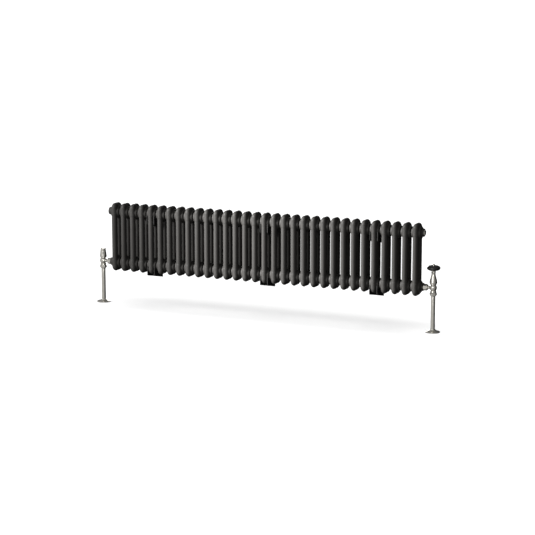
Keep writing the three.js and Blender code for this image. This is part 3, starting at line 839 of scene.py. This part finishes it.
def make_bonnet(centre):
    """The bell that is screwed over the body's top and tapers up to the gland."""
    bell = eased([(14.6, 17.4), (15.4, 19), (15.5, 21.5), (15.2, 25.8), (14.4, 31), (13.1, 36.5),
                  (11.7, 41.5), (10.2, 46.5), (9.1, 50.5), (8.7, 53)])
    bonnet = [(9.9, BONNET_BOTTOM), (14.2, BONNET_BOTTOM)] + bell
    bonnet += [(8.55, 54), (8.5, 57), (8.5, 60.7), (8.2, BONNET_TOP), (SPINDLE_BORE, BONNET_TOP)]
    bonnet += [(SPINDLE_BORE, BODY_TOP), (9.9, BODY_TOP), (9.9, BONNET_BOTTOM)]
    piece_of("bonnet_fine", [lambda shell: add_turned(shell, bonnet, upright_at(centre), 80)],
             NICKEL, "radiator", ["bonnet"])


def make_gland_nut(centre):
    """The small hexagon nut on the bonnet, with a round neck up to the wheel."""
    place = upright_at(centre)
    neck = filleted([
        (SPINDLE_BORE, 66.2),
        (8.5, 66.2),
        (8.5, GLAND_TOP, 0.7),
        (SPINDLE_BORE, GLAND_TOP),
        (SPINDLE_BORE, 66.2),
    ])
    piece_of("gland_nut_fine", [
        lambda shell: add_hexagon_nut(shell, place, GLAND_FLATS, GLAND_BOTTOM, 66.4, SPINDLE_BORE),
        lambda shell: add_turned(shell, neck, place, 48),
    ], NICKEL, "radiator", ["gland_nut"])


def make_handwheel(centre):
    """The wheel, whose rim is half an ellipse, and the domed metal cap on it."""
    place = upright_at(centre)
    middle = (WHEEL_TOP + WHEEL_BOTTOM) / 2
    half = (WHEEL_TOP - WHEEL_BOTTOM) / 2
    reach = WHEEL_RADIUS - WHEEL_FLAT_RADIUS
    rim_angles = [math.radians(-90 + 180 * i / 40) for i in range(41)]
    rim = [(WHEEL_FLAT_RADIUS + reach * math.cos(a), middle + half * math.sin(a)) for a in rim_angles]
    wheel = [(SPINDLE_BORE, WHEEL_BOTTOM)] + rim + [(SPINDLE_BORE, WHEEL_TOP), (SPINDLE_BORE, WHEEL_BOTTOM)]
    piece_of("handwheel_fine", [lambda shell: add_turned(shell, wheel, place, 96)],
             WHEEL_BLACK, "wheel", ["handwheel"])
    dome = [(0, 92.9), (5.8, 92.9), (6.0, 93.2), (6.0, 94.4), (5.7, 94.9)]
    dome += eased([(5.4, 95.2), (4.9, 96.3), (3.6, 97.6), (1.8, 98.3), (0.02, 98.4)])
    piece_of("handwheel_cap_fine", [lambda shell: add_turned(shell, dome, place, 64)],
             NICKEL, "wheel", ["handwheel_cap"])


# ---- left valve: lockshield cap --------------------------------------------------------------------------

def cap_radius(angle, radius, height):
    """Round skirt and round bore, with eight flats above the skirt, blended over a short stretch."""
    if radius <= CAP_BORE and height <= CAP_HOLLOW_TOP:
        return radius
    half = math.pi / CAP_FLATS
    turn = (angle + half) % (2 * half) - half
    flat = radius * math.cos(half) / math.cos(turn)
    share = min(max((height - CAP_FLATS_START) / CAP_FLATS_BLEND, 0), 1)
    return radius + (min(flat, radius - 0.25) - radius) * share


def make_lockshield_cap(centre):
    """The tapered cap with flats, hollow from below."""
    cap = [(CAP_BORE, CAP_BOTTOM), (13.9, CAP_BOTTOM), (15.0, 17.5), (CAP_RADIUS, 18.4)]
    cap.append((CAP_RADIUS, CAP_SKIRT_TOP))
    for step in range(1, CAP_TAPER_STEPS + 1):
        share = step / CAP_TAPER_STEPS
        radius = CAP_RADIUS + (CAP_TOP_RADIUS - CAP_RADIUS) * share
        cap.append((radius, CAP_TAPER_BOTTOM + (CAP_TAPER_TOP - CAP_TAPER_BOTTOM) * share))
    cap += [(10.5, 55.2), (9.8, 55.8), (8.8, CAP_TOP), (0, CAP_TOP)]
    cap += [(0, CAP_HOLLOW_TOP), (7, CAP_HOLLOW_TOP), (7, 31), (CAP_BORE, 31), (CAP_BORE, CAP_BOTTOM)]
    piece_of("lockshield_cap_fine",
             [lambda shell: add_turned(shell, cap, upright_at(centre), 96, cap_radius)],
             NICKEL, "lockshield_cap", ["lockshield_cap"])


# ---- stage, light and camera -------------------------------------------------------------------------------

def make_floor():
    """A wide pale floor. It is seen, and takes shadows, but does not light or mirror in the object."""
    mesh = bpy.data.meshes.new("floor")
    low, high = -FLOOR_HALF, FLOOR_HALF
    corners = [(low, low, 0), (high, low, 0), (high, high, 0), (low, high, 0)]
    mesh.from_pydata(corners, [], [(0, 1, 2, 3)])
    floor = bpy.data.objects.new("floor", mesh)
    bpy.context.scene.collection.objects.link(floor)
    floor.location.z = -0.0005
    mesh.materials.append(pale_floor("pale_floor"))
    floor.visible_diffuse = False
    floor.visible_glossy = False
    floor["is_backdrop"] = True


def area_light(name, place, target, size, power, spread=180):
    """A rectangular lamp at place, turned towards target. The camera does not see it."""
    light = bpy.data.lights.new(name, "AREA")
    light.shape = "RECTANGLE"
    light.size, light.size_y = size
    light.energy = power
    light.spread = math.radians(spread)
    lamp = bpy.data.objects.new(name, light)
    bpy.context.scene.collection.objects.link(lamp)
    lamp.visible_camera = False
    lamp.location = place
    lamp.rotation_mode = "QUATERNION"
    lamp.rotation_quaternion = (Vector(target) - Vector(place)).to_track_quat("-Z", "Y")
    return lamp


def sun_light(name, direction, strength, softness):
    """Light from very far away, spread over softness degrees."""
    light = bpy.data.lights.new(name, "SUN")
    light.energy = strength
    light.angle = math.radians(softness)
    lamp = bpy.data.objects.new(name, light)
    bpy.context.scene.collection.objects.link(lamp)
    lamp.rotation_mode = "QUATERNION"
    lamp.rotation_quaternion = Vector(direction).to_track_quat("-Z", "Y")
    return lamp


def light_only(lamp, receivers):
    """Makes the lamp light the receivers and nothing else."""
    lit = bpy.data.collections.new(f"lit_by_{lamp.name}")
    for receiver in receivers:
        lit.objects.link(receiver)
    lamp.light_linking.receiver_collection = lit


def wears(piece, materials):
    """True if the piece has one of the materials."""
    return any(slot.material in materials for slot in piece.material_slots)


def make_lights():
    """A soft key on the paint, a strip on the metal, a low light behind, and a sun for the floor only."""
    key = area_light("key", KEY_PLACE, KEY_TARGET, KEY_SIZE, KEY_POWER, spread=KEY_SPREAD)
    paint = [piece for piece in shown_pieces() if wears(piece, PAINTS)]
    others = [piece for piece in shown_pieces() if not wears(piece, PAINTS)]
    light_only(key, paint)
    strip = area_light("strip", STRIP_PLACE, STRIP_TARGET, STRIP_SIZE, STRIP_POWER)
    light_only(strip, others)
    behind = area_light("behind", BEHIND_PLACE, BEHIND_TARGET, BEHIND_SIZE, BEHIND_POWER)
    light_only(behind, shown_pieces())
    overhead = sun_light("overhead", FLOOR_SUN_DIRECTION, FLOOR_SUN_STRENGTH, FLOOR_SUN_SOFTNESS)
    light_only(overhead, [bpy.data.objects["floor"]])


def make_world():
    """A pale room, brighter to the front and left than to the right."""
    world = bpy.data.worlds.new("studio")
    bpy.context.scene.world = world
    world.use_nodes = True
    tree = world.node_tree
    coordinates = tree.nodes.new("ShaderNodeTexCoord")
    towards = tree.nodes.new("ShaderNodeVectorMath")
    towards.operation = "DOT_PRODUCT"
    towards.inputs[1].default_value = ROOM_BRIGHT_SIDE
    tree.links.new(coordinates.outputs["Generated"], towards.inputs[0])
    level = tree.nodes.new("ShaderNodeMapRange")
    level.inputs["From Min"].default_value = ROOM_DARK_UP_TO
    level.inputs["From Max"].default_value = ROOM_LIGHT_FROM
    level.inputs["To Min"].default_value = ROOM_DARK
    level.inputs["To Max"].default_value = ROOM_LIGHT
    tree.links.new(towards.outputs["Value"], level.inputs["Value"])
    tree.links.new(level.outputs["Result"], tree.nodes["Background"].inputs["Strength"])
    tree.nodes["Background"].inputs["Color"].default_value = (1, 1, 1, 1)


def make_camera():
    """A level-sided long lens, a little above the object and to its right."""
    lens = bpy.data.cameras.new("camera")
    lens.lens = CAMERA_LENS
    lens.sensor_width = 36
    lens.clip_start, lens.clip_end = 0.05, 300
    camera = bpy.data.objects.new("camera", lens)
    bpy.context.scene.collection.objects.link(camera)
    camera.location = CAMERA_PLACE
    camera.rotation_euler = (math.radians(90 - CAMERA_PITCH), 0, math.radians(CAMERA_YAW))
    bpy.context.scene.camera = camera


make_sections()
make_blanking_plug()
make_bleed_plug()
make_bleed_screw()
make_cradles()
for valve_side, valve_centre, towards_radiator in (("left", LEFT_VALVE, 1), ("right", RIGHT_VALVE, -1)):
    make_valve_body(valve_side, valve_centre, towards_radiator)
    make_union(valve_side, valve_centre, towards_radiator)
    make_compression_nut(valve_side, valve_centre)
    make_pipe(valve_side, valve_centre)
    make_floor_plate(valve_side, valve_centre)
make_bonnet(RIGHT_VALVE)
make_gland_nut(RIGHT_VALVE)
make_spindle("valve_spindle", RIGHT_VALVE, VALVE_SPINDLE_TOP, "spindle")
make_handwheel(RIGHT_VALVE)
make_lockshield_cap(LEFT_VALVE)
make_spindle("lockshield_spindle", LEFT_VALVE, LOCKSHIELD_SPINDLE_TOP, "lockshield_spindle")
make_floor()
make_lights()
make_world()
make_camera()
bpy.context.scene.view_settings.view_transform = "Standard"
